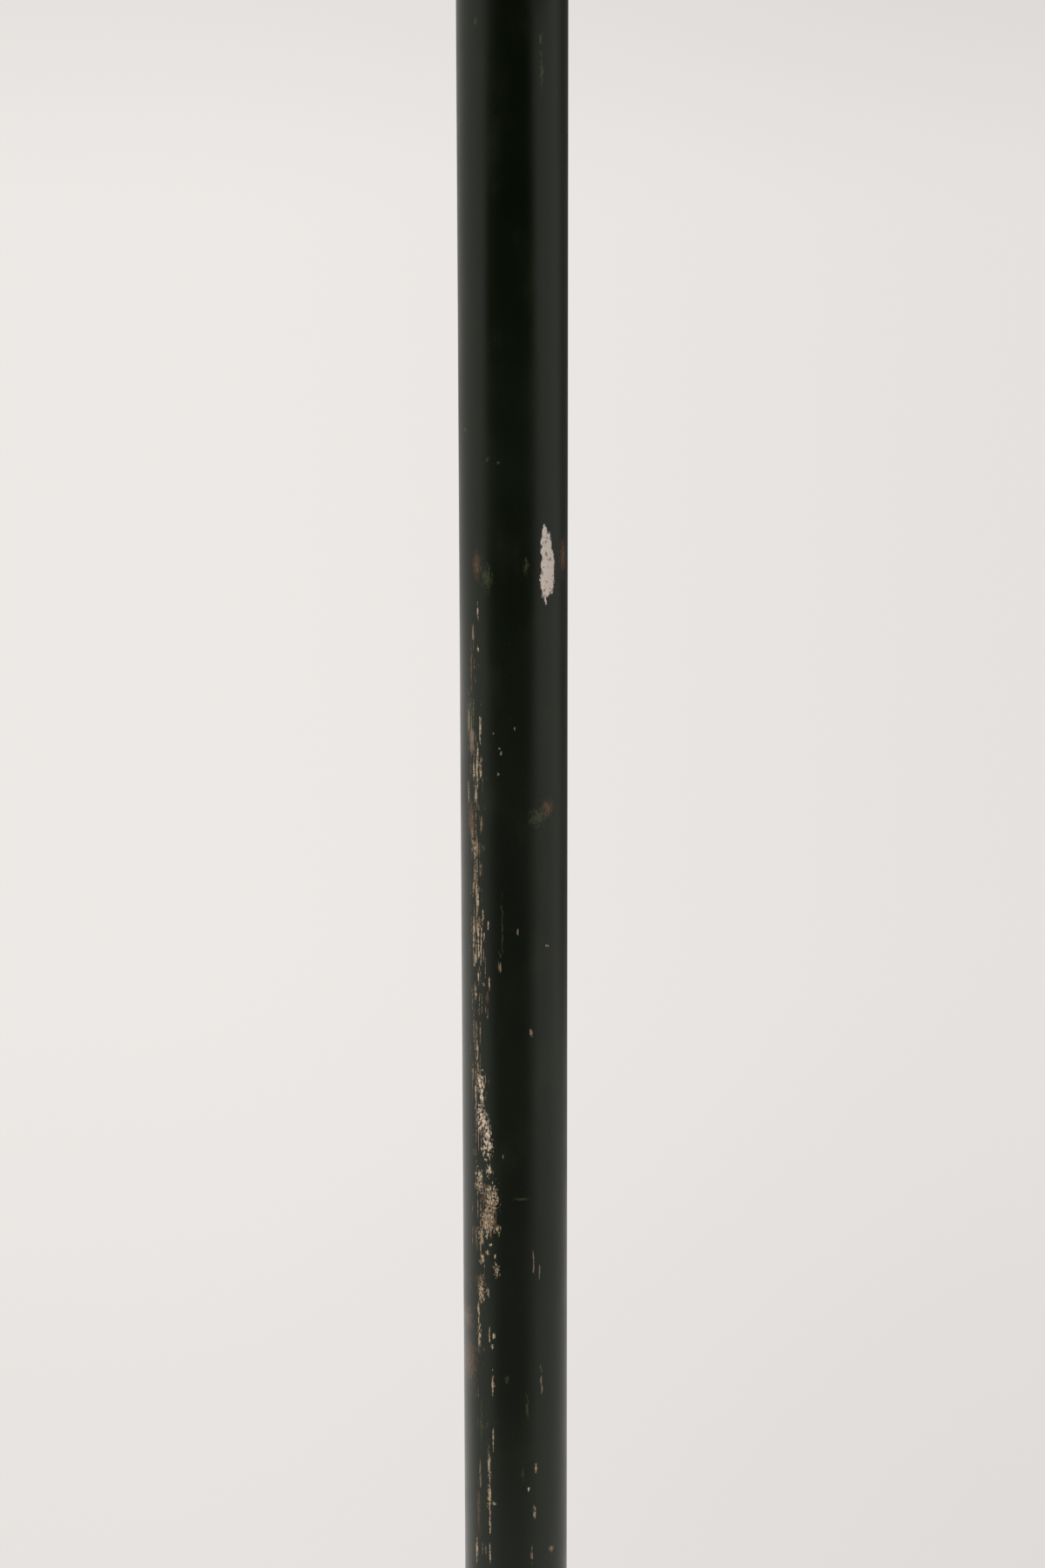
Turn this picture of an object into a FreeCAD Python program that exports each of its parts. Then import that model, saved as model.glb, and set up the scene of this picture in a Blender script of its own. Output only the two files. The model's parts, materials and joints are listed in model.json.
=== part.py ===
import FreeCAD
import Part

import math
import os

# Tension pole lamp. A steel pole stands between floor and ceiling and is wedged there by a spring.
# Its lower tube stands in a rubber-shod foot. A narrower pole telescopes in it, is clamped by a thumb
# screw in a collar, and is two tubes screwed together end to end. At its top a sprung plunger carries
# the ceiling cup. Three heads hang on the pole: each has an arm that rolls in the tube's wall, a
# friction knuckle, a socket cup with its lampholder and turn switch, a bulb and a spun cone shade.
# Millimetres, +Z up. The origin is on the pole's axis, on the floor.

# ---- the three tubes of the pole ----
POLE_R = 14.3  # outside of the telescoping tubes
POLE_WALL = 1.25
TELESCOPE_GAP = 0.3  # between the lower tube's bore and the tube that slides in it
LOWER_WALL = 1.275
LOWER_TUBE_LENGTH = 743.0
INSERTED = 200.0  # how much of the middle tube is inside the lower tube
MIDDLE_TUBE_LENGTH = 830.0
TOP_TUBE_LENGTH = 880.0
POLE_BORE_R = POLE_R - POLE_WALL
LOWER_BORE_R = POLE_R + TELESCOPE_GAP
LOWER_R = LOWER_BORE_R + LOWER_WALL

# ---- rubber pads, foot and ceiling cup ----
PAD_SOLE = 5.0  # rubber between metal and floor or ceiling
PAD_LIP = 2.6  # the rubber's wall round the metal disc
PAD_LIP_HEIGHT = 5.0
DISC_EDGE = 6.0  # straight edge of the metal disc
END_SLOPE = 2.0  # rise of the disc's slope
FOOT_R = 28.0
FOOT_FLOOR = 12.0  # metal under the tube's end
FOOT_SOCKET_DEPTH = 34.0
FOOT_NECK_WALL = 3.4
CUP_R = 31.0
CUP_FLOOR = 9.0
CUP_SOCKET_DEPTH = 26.0
CUP_NECK_WALL = 3.2
EDGE_ROUND = 1.0

# ---- cord inlet ----
CORD_HEIGHT = 84.0
CORD_AZIMUTH = 90.0
CORD_BORE_R = 3.6
CORD_NECK_R = 6.0
CORD_FLANGE_R = 8.5
CORD_FLANGE = 2.4  # outer flange, measured on the pole's outermost line
CORD_INNER_FLANGE = 1.6

# ---- lock collar and its screw ----
COLLAR_OVERLAP = 30.0
COLLAR_GUIDE = 26.0  # stretch above the lower tube, which guides the sliding tube
COLLAR_WALL = 4.0
COLLAR_GUIDE_GAP = 0.15
COLLAR_CHAMFER = 1.5
SCREW_AZIMUTH = -131.0
SCREW_R = 3.0
SCREW_BOSS_R = 7.0
SCREW_BOSS_REACH = 7.0  # past the collar
SCREW_TIP_GAP = 0.1
SCREW_HEAD_R = 9.0
SCREW_HEAD = 8.0
SCREW_STANDOFF = 4.0  # between boss and head
THREAD_GAP = 0.05  # radial, for threads and pins that turn

# ---- joint between the middle and the top tube ----
NIPPLE_LENGTH = 70.0
NIPPLE_WALL = 2.0
RING_WIDTH = 12.0
RING_WALL = 1.7

# ---- sprung plunger ----
PLUNGER_R = 11.1
PLUNGER_WALL = 1.2
PLUNGER_LENGTH = 166.0
PLUNGER_GAP = 0.1
BUSH_LENGTH = 33.0  # inside the top tube
BUSH_HEAD = 8.0
BUSH_HEAD_LIP = 1.3
PISTON_DISC = 12.0
PISTON_SPIGOT = 20.0
PISTON_GAP = 0.2
SPRING_POST_R = 6.0
SPRING_POST = 10.0
SPRING_LENGTH = 141.0
SPRING_COIL_R = 9.6
SPRING_WIRE_R = 1.5
SPRING_TURNS = 9
SPRING_END_GAP = 0.05
SEAT_THICKNESS = 8.0
SEAT_PIN_R = 2.0
SEAT_PIN_HEAD_R = 3.4
SEAT_PIN_HEAD = 1.2

# ---- heads, on the top tube: the middle one is halfway between the others ----
LOW_HEAD_ABOVE_JOINT = 170.0
TOP_HEAD_BELOW_SEAT = 26.0  # the spring's seat is over the wires' last hole

# ---- arm, from the pole's axis outwards ----
ARM_THREAD_R = 4.8
ARM_BORE_R = 3.0
ARM_HOLE_GAP = 0.25
ARM_R = 5.5
ARM_COLLAR_R = 8.5
ARM_COLLAR = 5.0
ARM_LENGTH = 66.0  # from the collar's outer face to the fork
ARM_SPIGOT = 6.0
LOCKNUT_ACROSS = 13.0
LOCKNUT = 3.5
LOCKNUT_WALL_GAP = 0.3
THREAD_TAIL = 0.8
SADDLE_R = 12.0
SADDLE = 4.8  # measured on the pole's outermost line

# ---- knuckle ----
KNUCKLE_R = 8.0
FORK_BASE = 8.0
FORK_CLEAR = 1.0  # between the tongue's round end and the fork's base
TONGUE = 6.2
EAR_FACE = 6.4  # from the knuckle's middle to the flat outside of an ear
TONGUE_GAP = 0.1
PIVOT_R = 2.5
PIVOT_HEAD_R = 4.4
PIVOT_HEAD = 3.0
PIVOT_NUT_R = 5.6
PIVOT_NUT = 6.0
SLOT_WIDTH = 1.2
SLOT_DEPTH = 1.4
TONGUE_SHANK = 13.0  # from the pivot to the tongue's collar
TONGUE_COLLAR = 7.0
TONGUE_SPIGOT = 8.0

# ---- socket cup, lampholder and switch, along the head's axis ----
CUP_SHELL_R = 23.0
CUP_SHELL_WALL = 1.0
CUP_SHELL_LENGTH = 50.0
CUP_SHOULDER = 9.0
VENT_COUNT = 8
VENT_WIDTH = 3.0
VENT_LENGTH = 11.0
VENT_FROM = 12.0  # from the cup's closed end
HOLDER_NECK_R = 8.0
HOLDER_NECK = 9.0
HOLDER_R = 16.5
HOLDER_RING_R = 19.5  # threaded for the shade ring
HOLDER_RING = 20.0
HOLDER_LENGTH = 61.0
HOLDER_BORE_R = 13.5
HOLDER_BORE_DEPTH = 38.0
CONTACT_SHELL = 0.5
CONTACT_SHORT = 2.0  # the screw shell stops this far inside the lampholder's mouth
CONTACT_R = 4.0
CONTACT = 3.0
SWITCH_FROM = 30.0  # from the cup's closed end
SWITCH_STEM_R = 2.0
SWITCH_HOLE_GAP = 0.3
SWITCH_KNOB_R = 6.0
SWITCH_KNOB = 12.0
SWITCH_STANDOFF = 4.0
SWITCH_INSIDE = 1.5  # the stem's length inside the cup
FLUTES = 8
FLUTE_R = 1.6

# ---- bulb ----
BULB_CAP_GAP = 0.2
BULB_CAP = 27.0
BULB_TIP_R = 3.5
BULB_R = 30.0
BULB_NECK_R = 12.0
BULB_GLASS = 0.8
BULB_NECK = 14.0
BULB_LENGTH = 84.0  # glass past the cap
BULB_SIDE = 20.0  # degrees past its widest, where the ball's arc is pinned

# ---- shade ----
SHADE_WALL = 0.9
SHADE_TOP_R = 32.0
SHADE_SHOULDER = 11.0
SHADE_RIM_R = 84.0
SHADE_LENGTH = 160.0
SHADE_HEM = 5.0
SHADE_HEM_OUT = 1.4
SHADE_RING = 5.0
SHADE_RING_R = 24.5

# ---- heights on the pole ----
FOOT_DISC_BASE = PAD_SOLE
LOWER_TUBE_BASE = FOOT_DISC_BASE + FOOT_FLOOR
LOWER_TUBE_TOP = LOWER_TUBE_BASE + LOWER_TUBE_LENGTH
COLLAR_TOP = LOWER_TUBE_TOP + COLLAR_GUIDE
SCREW_HEIGHT = LOWER_TUBE_TOP + COLLAR_GUIDE / 2
MIDDLE_TUBE_BASE = LOWER_TUBE_TOP - INSERTED
POLE_JOINT = MIDDLE_TUBE_BASE + MIDDLE_TUBE_LENGTH
TOP_TUBE_TOP = POLE_JOINT + TOP_TUBE_LENGTH
BUSH_BASE = TOP_TUBE_TOP - BUSH_LENGTH
PISTON_TOP = BUSH_BASE
PISTON_BASE = PISTON_TOP - PISTON_DISC
SEAT_TOP = PISTON_BASE - SPRING_LENGTH
SEAT_BASE = SEAT_TOP - SEAT_THICKNESS
PLUNGER_TOP = PISTON_TOP + PLUNGER_LENGTH
CEILING_DISC_TOP = PLUNGER_TOP + CUP_FLOOR
CEILING = CEILING_DISC_TOP + PAD_SOLE

LOW_HEAD = POLE_JOINT + LOW_HEAD_ABOVE_JOINT
TOP_HEAD = SEAT_BASE - TOP_HEAD_BELOW_SEAT
MIDDLE_HEAD = (LOW_HEAD + TOP_HEAD) / 2

# ---- each head's name, height, azimuth on the pole, and how far its lamp points below level ----
HEADS = (
    ("low", LOW_HEAD, -25.0, 48.0),
    ("mid", MIDDLE_HEAD, -155.0, 38.0),
    ("top", TOP_HEAD, -65.0, 44.0),
)

# ---- distances along an arm, from the pole's axis ----
HEXAGON = [math.radians(60 * i) for i in range(7)]  # its corners, with the first once more to close it
LOCKNUT_CORNER = LOCKNUT_ACROSS / math.sqrt(3)
LOCKNUT_FACE = math.sqrt((POLE_BORE_R - LOCKNUT_WALL_GAP) ** 2 - LOCKNUT_CORNER ** 2)
ARM_INNER_END = LOCKNUT_FACE - LOCKNUT - THREAD_TAIL
SADDLE_FACE = POLE_R + SADDLE
FORK_FACE = SADDLE_FACE + ARM_COLLAR + ARM_LENGTH
PIVOT = FORK_FACE + FORK_BASE + FORK_CLEAR + KNUCKLE_R

# ---- distances along a head, from its pivot ----
CUP_TOP = TONGUE_SHANK + TONGUE_COLLAR
CUP_MOUTH = CUP_TOP + CUP_SHELL_LENGTH
HOLDER_BACK = CUP_TOP + CUP_SHELL_WALL
HOLDER_MOUTH = HOLDER_BACK + HOLDER_LENGTH
HOLDER_FLOOR = HOLDER_MOUTH - HOLDER_BORE_DEPTH
SWITCH_AT = CUP_TOP + SWITCH_FROM
SHADE_BACK = CUP_MOUTH
SHADE_MOUTH = SHADE_BACK + SHADE_LENGTH
BULB_CAP_BACK = HOLDER_FLOOR + CONTACT
BULB_GLASS_BACK = BULB_CAP_BACK + BULB_CAP


# ---- drawing helpers ----
def rounded_corner(before, corner, after, radius):
    """Start, middle and end of the arc that rounds a corner of an outline."""
    there = FreeCAD.Vector(*corner, 0)
    back = (FreeCAD.Vector(*before, 0) - there).normalize()
    on = (FreeCAD.Vector(*after, 0) - there).normalize()
    half = back.getAngle(on) / 2
    reach = radius / math.tan(half)
    centre = there + (back + on).normalize() * (radius / math.sin(half))
    start, end = there + back * reach, there + on * reach
    middle = centre + (there - centre).normalize() * radius
    return [(p.x, p.y) for p in (start, middle, end)]


def turned(*corners):
    """A solid turned about +Z from (height, radius) corners. A third value rounds that corner."""
    def on_plane(point):
        return FreeCAD.Vector(point[1], 0, point[0])

    stops = []
    for i, corner in enumerate(corners):
        if len(corner) == 3:
            before, after = corners[i - 1][:2], corners[(i + 1) % len(corners)][:2]
            stops.append(rounded_corner(before, corner[:2], after, corner[2]))
        else:
            stops.append([corner])
    edges = []
    for stop, following in zip(stops, stops[1:] + stops[:1]):
        if len(stop) == 3:
            edges.append(Part.Arc(*map(on_plane, stop)).toShape())
        edges.append(Part.LineSegment(on_plane(stop[-1]), on_plane(following[0])).toShape())
    face = Part.Face(Part.Wire(edges))
    return face.revolve(FreeCAD.Vector(), FreeCAD.Vector(0, 0, 1), 360)


def rod(radius, low, high):
    """A cylinder about +Z between two heights."""
    return Part.makeCylinder(radius, high - low, FreeCAD.Vector(0, 0, low))


def tube(outer, inner, low, high):
    return rod(outer, low, high).cut(rod(inner, low, high))


def cross_rod(radius, low, high, height, along=(0, 1, 0)):
    """A cylinder across the Z axis at a height, between two distances from it."""
    way = FreeCAD.Vector(*along)
    return Part.makeCylinder(radius, high - low, FreeCAD.Vector(0, 0, height) + way * low, way)


def block(half_x, half_y, low, high):
    """A box centred on the Z axis between two heights."""
    corner = FreeCAD.Vector(-half_x, -half_y, low)
    return Part.makeBox(2 * half_x, 2 * half_y, high - low, corner)


def placed(shape, placement):
    copy = shape.copy()
    copy.Placement = placement.multiply(copy.Placement)
    return copy


def outward(height, azimuth):
    """Carries +Z to the pole's outward direction at a height and azimuth, and +X to straight down."""
    swung = FreeCAD.Rotation(FreeCAD.Vector(0, 0, 1), azimuth)
    laid = FreeCAD.Rotation(FreeCAD.Vector(0, 1, 0), 90)
    return FreeCAD.Placement(FreeCAD.Vector(0, 0, height), swung.multiply(laid))


def head_place(height, azimuth, below_level):
    """Carries a head's own frame, pivot at the origin and lamp along +Z, to its place at rest."""
    tilted = FreeCAD.Rotation(FreeCAD.Vector(0, 1, 0), below_level)
    return outward(height, azimuth).multiply(FreeCAD.Placement(FreeCAD.Vector(0, 0, PIVOT), tilted))


def fluted(knob, radius, low, high):
    """Cuts finger flutes along the edge of a knob that is turned about +Z."""
    for i in range(FLUTES):
        angle = 2 * math.pi * i / FLUTES
        flute = rod(FLUTE_R, low, high)
        flute.translate(FreeCAD.Vector(radius * math.cos(angle), radius * math.sin(angle), 0))
        knob = knob.cut(flute)
    return knob


# ---- foot, cup and pads: drawn standing on a floor, and turned over for the ceiling ----
def end_pad(disc_r):
    outer = disc_r + PAD_LIP
    top = PAD_SOLE + PAD_LIP_HEIGHT
    return turned(
        (0, 0), (0, outer, EDGE_ROUND), (top, outer), (top, disc_r), (PAD_SOLE, disc_r), (PAD_SOLE, 0)
    )


def end_fitting(disc_r, tube_r, floor, depth, wall):
    """A flanged socket for the end of a tube."""
    neck = tube_r + wall
    edge = PAD_SOLE + DISC_EDGE
    seat = PAD_SOLE + floor
    top = seat + depth
    sweep = (disc_r + neck) / 2
    return turned(
        (PAD_SOLE, 0), (PAD_SOLE, disc_r), (edge, disc_r), (edge + END_SLOPE, sweep),
        (seat + depth / 3, neck), (top, neck, EDGE_ROUND), (top, tube_r), (seat, tube_r), (seat, 0),
    )


def upside_down(shape):
    over = FreeCAD.Rotation(FreeCAD.Vector(1, 0, 0), 180)
    return placed(shape, FreeCAD.Placement(FreeCAD.Vector(0, 0, CEILING), over))


# ---- the pole ----
def cord_way():
    return outward(CORD_HEIGHT, CORD_AZIMUTH)


def lower_tube():
    hole = placed(rod(CORD_NECK_R, 0, 2 * LOWER_R), cord_way())
    return tube(LOWER_R, LOWER_BORE_R, LOWER_TUBE_BASE, LOWER_TUBE_TOP).cut(hole)


def cord_grommet():
    """A flanged bush that grips the tube's wall."""
    face = LOWER_R + CORD_FLANGE
    back = LOWER_BORE_R - CORD_INNER_FLANGE - CORD_FLANGE
    blank = turned(
        (back, CORD_BORE_R), (back, CORD_FLANGE_R), (face, CORD_FLANGE_R, EDGE_ROUND), (face, CORD_BORE_R)
    )
    return placed(blank, cord_way()).cut(lower_tube())


def lock_collar():
    outer = LOWER_R + COLLAR_WALL
    base = LOWER_TUBE_TOP - COLLAR_OVERLAP
    guide = POLE_R + COLLAR_GUIDE_GAP
    screw_way = outward(SCREW_HEIGHT, SCREW_AZIMUTH)
    boss = placed(rod(SCREW_BOSS_R, outer / 2, outer + SCREW_BOSS_REACH), screw_way)
    blank = turned(
        (base, LOWER_R), (base, outer - COLLAR_CHAMFER), (base + COLLAR_CHAMFER, outer),
        (COLLAR_TOP - COLLAR_CHAMFER, outer), (COLLAR_TOP, outer - COLLAR_CHAMFER),
        (COLLAR_TOP, guide), (LOWER_TUBE_TOP, guide), (LOWER_TUBE_TOP, LOWER_R),
    )
    hole = placed(rod(SCREW_R + THREAD_GAP, 0, outer + 2 * SCREW_BOSS_REACH), screw_way)
    return blank.fuse(boss).cut(rod(guide, base, COLLAR_TOP)).cut(lower_tube_space()).cut(hole)


def lower_tube_space():
    """What the lower tube fills, bore included."""
    return rod(LOWER_R, LOWER_TUBE_BASE, LOWER_TUBE_TOP)


def lock_screw():
    boss_face = LOWER_R + COLLAR_WALL + SCREW_BOSS_REACH
    head = boss_face + SCREW_STANDOFF
    tip = POLE_R + SCREW_TIP_GAP
    blank = turned(
        (tip, 0), (tip, SCREW_R), (head, SCREW_R), (head, SCREW_HEAD_R),
        (head + SCREW_HEAD, SCREW_HEAD_R), (head + SCREW_HEAD, 0),
    )
    knob = fluted(blank, SCREW_HEAD_R + FLUTE_R / 2, head, head + SCREW_HEAD)
    return placed(knob, outward(SCREW_HEIGHT, SCREW_AZIMUTH))


def middle_tube():
    return tube(POLE_R, POLE_BORE_R, MIDDLE_TUBE_BASE, POLE_JOINT)


def top_tube():
    shape = tube(POLE_R, POLE_BORE_R, POLE_JOINT, TOP_TUBE_TOP)
    for _, height, azimuth, _ in HEADS:
        shape = shape.cut(placed(rod(ARM_THREAD_R + ARM_HOLE_GAP, 0, 2 * POLE_R), outward(height, azimuth)))
    return shape.cut(cross_rod(SEAT_PIN_R, -2 * POLE_R, 2 * POLE_R, SEAT_BASE + SEAT_THICKNESS / 2))


def joint_nipple():
    half = NIPPLE_LENGTH / 2
    return tube(POLE_BORE_R, POLE_BORE_R - NIPPLE_WALL, POLE_JOINT - half, POLE_JOINT + half)


def joint_ring():
    low, high = POLE_JOINT - RING_WIDTH / 2, POLE_JOINT + RING_WIDTH / 2
    outer = POLE_R + RING_WALL
    return turned(
        (low, POLE_R), (low, outer - RING_WALL / 2), (low + RING_WALL, outer),
        (high - RING_WALL, outer), (high, outer - RING_WALL / 2), (high, POLE_R),
    )


def arm_saddles():
    """Round pads between each arm and the pole, hollowed to fit the tube."""
    pads = []
    for _, height, azimuth, _ in HEADS:
        blank = turned(
            (0, ARM_THREAD_R + THREAD_GAP), (0, SADDLE_R), (SADDLE_FACE - EDGE_ROUND, SADDLE_R),
            (SADDLE_FACE, SADDLE_R - EDGE_ROUND), (SADDLE_FACE, ARM_THREAD_R + THREAD_GAP),
        )
        pole = rod(POLE_R, height - 2 * SADDLE_R, height + 2 * SADDLE_R)
        pads.append(placed(blank, outward(height, azimuth)).cut(pole))
    return Part.makeCompound(pads)


def arm_locknuts():
    """Hexagonal nuts inside the pole, one on each arm's thread."""
    nuts = []
    for _, height, azimuth, _ in HEADS:
        low = LOCKNUT_FACE - LOCKNUT
        corners = [
            FreeCAD.Vector(LOCKNUT_CORNER * math.cos(a), LOCKNUT_CORNER * math.sin(a), low) for a in HEXAGON
        ]
        hexagon = Part.Face(Part.makePolygon(corners)).extrude(FreeCAD.Vector(0, 0, LOCKNUT))
        nut = hexagon.cut(rod(ARM_THREAD_R + THREAD_GAP, low, LOCKNUT_FACE))
        nuts.append(placed(nut, outward(height, azimuth)))
    return Part.makeCompound(nuts)


# ---- sprung plunger ----
def spring_seat():
    seat = turned(
        (SEAT_BASE, 0), (SEAT_BASE, POLE_BORE_R), (SEAT_TOP, POLE_BORE_R), (SEAT_TOP, SPRING_POST_R),
        (SEAT_TOP + SPRING_POST, SPRING_POST_R), (SEAT_TOP + SPRING_POST, 0),
    )
    return seat.cut(cross_rod(SEAT_PIN_R, -POLE_R, POLE_R, SEAT_BASE + SEAT_THICKNESS / 2))


def spring_seat_pin():
    """A rivet through tube and seat. Its heads are hollowed to sit on the round tube."""
    height = SEAT_BASE + SEAT_THICKNESS / 2
    end = POLE_R + SEAT_PIN_HEAD
    heads = cross_rod(SEAT_PIN_HEAD_R, -end, end, height).cut(
        rod(POLE_R, height - 2 * SEAT_PIN_HEAD_R, height + 2 * SEAT_PIN_HEAD_R)
    )
    return heads.fuse(cross_rod(SEAT_PIN_R, -end, end, height))


def tension_spring():
    """Open coil of six-sided wire between the seat and the piston."""
    low = SEAT_TOP + SPRING_WIRE_R + SPRING_END_GAP
    rise = SPRING_LENGTH - 2 * (SPRING_WIRE_R + SPRING_END_GAP)
    path = Part.makeHelix(rise / SPRING_TURNS, rise, SPRING_COIL_R)
    path.translate(FreeCAD.Vector(0, 0, low))
    section = Part.makePolygon([
        FreeCAD.Vector(SPRING_COIL_R + SPRING_WIRE_R * math.cos(a), 0, low + SPRING_WIRE_R * math.sin(a))
        for a in HEXAGON
    ])
    return Part.Wire(path).makePipeShell([section], True, True)


def plunger_piston():
    spigot = PLUNGER_R - PLUNGER_WALL
    return turned(
        (PISTON_BASE - SPRING_POST, 0), (PISTON_BASE - SPRING_POST, SPRING_POST_R),
        (PISTON_BASE, SPRING_POST_R), (PISTON_BASE, POLE_BORE_R - PISTON_GAP),
        (PISTON_TOP, POLE_BORE_R - PISTON_GAP), (PISTON_TOP, spigot),
        (PISTON_TOP + PISTON_SPIGOT, spigot), (PISTON_TOP + PISTON_SPIGOT, 0),
    )


def plunger_tube():
    return tube(PLUNGER_R, PLUNGER_R - PLUNGER_WALL, PISTON_TOP, PLUNGER_TOP)


def guide_bush():
    bore = PLUNGER_R + PLUNGER_GAP
    head_top = TOP_TUBE_TOP + BUSH_HEAD
    head_r = POLE_R + BUSH_HEAD_LIP
    return turned(
        (BUSH_BASE, bore), (BUSH_BASE, POLE_BORE_R), (TOP_TUBE_TOP, POLE_BORE_R), (TOP_TUBE_TOP, head_r),
        (head_top - BUSH_HEAD / 2, head_r), (head_top, bore + (head_r - bore) / 2), (head_top, bore),
    )


# ---- arm and knuckle ----
def arm():
    root = SADDLE_FACE + ARM_COLLAR
    return turned(
        (ARM_INNER_END, ARM_BORE_R), (ARM_INNER_END, ARM_THREAD_R), (SADDLE_FACE, ARM_THREAD_R),
        (SADDLE_FACE, ARM_COLLAR_R), (root - ARM_COLLAR / 2, ARM_COLLAR_R), (root, ARM_R),
        (FORK_FACE, ARM_R), (FORK_FACE, ARM_THREAD_R), (FORK_FACE + ARM_SPIGOT, ARM_THREAD_R),
        (FORK_FACE + ARM_SPIGOT, ARM_BORE_R),
    )


def knuckle_fork():
    """A turned end, slotted to leave two round-ended ears for the pivot."""
    far = PIVOT + KNUCKLE_R
    round_end = block(KNUCKLE_R, KNUCKLE_R, FORK_FACE, PIVOT).fuse(
        cross_rod(KNUCKLE_R, -KNUCKLE_R, KNUCKLE_R, PIVOT)
    )
    body = rod(KNUCKLE_R, FORK_FACE, far).common(round_end)
    slot = block(2 * KNUCKLE_R, TONGUE / 2 + TONGUE_GAP, FORK_FACE + FORK_BASE, far + KNUCKLE_R)
    flats = [block(2 * KNUCKLE_R, KNUCKLE_R, FORK_FACE + FORK_BASE, far + KNUCKLE_R) for _ in range(2)]
    ear_face = TONGUE / 2 + TONGUE_GAP + ear_thickness()
    for flat, side in zip(flats, (-1, 1)):
        flat.translate(FreeCAD.Vector(0, side * (ear_face + KNUCKLE_R), 0))
        body = body.cut(flat)
    pivot_hole = cross_rod(PIVOT_R, -2 * KNUCKLE_R, 2 * KNUCKLE_R, PIVOT)
    socket = rod(ARM_THREAD_R, FORK_FACE, FORK_FACE + ARM_SPIGOT)
    wire_way = rod(ARM_BORE_R, FORK_FACE, FORK_FACE + FORK_BASE)
    return body.cut(slot).cut(pivot_hole).cut(socket).cut(wire_way)


def ear_thickness():
    """From the gap beside the tongue to the ear's flat outside."""
    return EAR_FACE - TONGUE / 2 - TONGUE_GAP


def pivot_screw():
    face = TONGUE / 2 + TONGUE_GAP + ear_thickness()
    blank = turned(
        (-face - PIVOT_HEAD, 0), (-face - PIVOT_HEAD, PIVOT_HEAD_R), (-face, PIVOT_HEAD_R),
        (-face, PIVOT_R), (face + PIVOT_NUT, PIVOT_R), (face + PIVOT_NUT, 0),
    )
    slot = block(2 * PIVOT_HEAD_R, SLOT_WIDTH / 2, -face - PIVOT_HEAD, -face - PIVOT_HEAD + SLOT_DEPTH)
    return placed(blank.cut(slot), along_pivot())


def pivot_nut():
    face = TONGUE / 2 + TONGUE_GAP + ear_thickness()
    return placed(tube(PIVOT_NUT_R, PIVOT_R, face, face + PIVOT_NUT), along_pivot())


def along_pivot():
    """Carries +Z to +Y, onto the pivot's axis in the arm's frame."""
    turn = FreeCAD.Rotation(FreeCAD.Vector(1, 0, 0), -90)
    return FreeCAD.Placement(FreeCAD.Vector(0, 0, PIVOT), turn)


def knuckle_tongue():
    """A flat tongue on a round collar, in the head's frame."""
    round_end = block(KNUCKLE_R, KNUCKLE_R, 0, CUP_TOP).fuse(cross_rod(KNUCKLE_R, -KNUCKLE_R, KNUCKLE_R, 0))
    body = rod(KNUCKLE_R, -KNUCKLE_R, CUP_TOP).common(round_end)
    for side in (-1, 1):
        cheek = block(2 * KNUCKLE_R, KNUCKLE_R, -2 * KNUCKLE_R, TONGUE_SHANK)
        cheek.translate(FreeCAD.Vector(0, side * (TONGUE / 2 + KNUCKLE_R), 0))
        body = body.cut(cheek)
    spigot = rod(ARM_THREAD_R, CUP_TOP, CUP_TOP + TONGUE_SPIGOT)
    hole = cross_rod(PIVOT_R + THREAD_GAP, -2 * KNUCKLE_R, 2 * KNUCKLE_R, 0)
    return body.fuse(spigot).cut(hole)


# ---- socket cup, lampholder, switch, bulb and shade, in the head's frame ----
def socket_cup():
    wall = CUP_SHELL_WALL
    shell = turned(
        (CUP_TOP, ARM_THREAD_R), (CUP_TOP, CUP_SHELL_R, CUP_SHOULDER), (CUP_MOUTH, CUP_SHELL_R),
        (CUP_MOUTH, CUP_SHELL_R - wall), (CUP_TOP + wall, CUP_SHELL_R - wall, CUP_SHOULDER - wall),
        (CUP_TOP + wall, ARM_THREAD_R),
    )
    for i in range(VENT_COUNT):
        vent = Part.makeBox(
            CUP_SHELL_R, VENT_WIDTH, VENT_LENGTH,
            FreeCAD.Vector(CUP_SHELL_R / 2, -VENT_WIDTH / 2, CUP_TOP + VENT_FROM),
        )
        vent.rotate(FreeCAD.Vector(), FreeCAD.Vector(0, 0, 1), 360 * (i + 0.5) / VENT_COUNT)
        shell = shell.cut(vent)
    return shell.cut(cross_rod(SWITCH_STEM_R + SWITCH_HOLE_GAP, 0, 2 * CUP_SHELL_R, SWITCH_AT, (-1, 0, 0)))


def socket():
    return turned(
        (HOLDER_BACK, ARM_THREAD_R), (HOLDER_BACK, HOLDER_NECK_R),
        (HOLDER_BACK + HOLDER_NECK, HOLDER_NECK_R),
        (HOLDER_BACK + HOLDER_NECK, HOLDER_R), (HOLDER_MOUTH - HOLDER_RING, HOLDER_R),
        (HOLDER_MOUTH - HOLDER_RING, HOLDER_RING_R), (HOLDER_MOUTH, HOLDER_RING_R),
        (HOLDER_MOUTH, HOLDER_BORE_R), (HOLDER_FLOOR, HOLDER_BORE_R), (HOLDER_FLOOR, 0),
        (CUP_TOP + TONGUE_SPIGOT, 0), (CUP_TOP + TONGUE_SPIGOT, ARM_THREAD_R),
    )


def socket_contacts():
    """The brass screw shell and the button at its floor."""
    shell = tube(
        HOLDER_BORE_R, HOLDER_BORE_R - CONTACT_SHELL, HOLDER_FLOOR, HOLDER_MOUTH - CONTACT_SHORT
    )
    return Part.makeCompound([shell, rod(CONTACT_R, HOLDER_FLOOR, HOLDER_FLOOR + CONTACT)])


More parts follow.
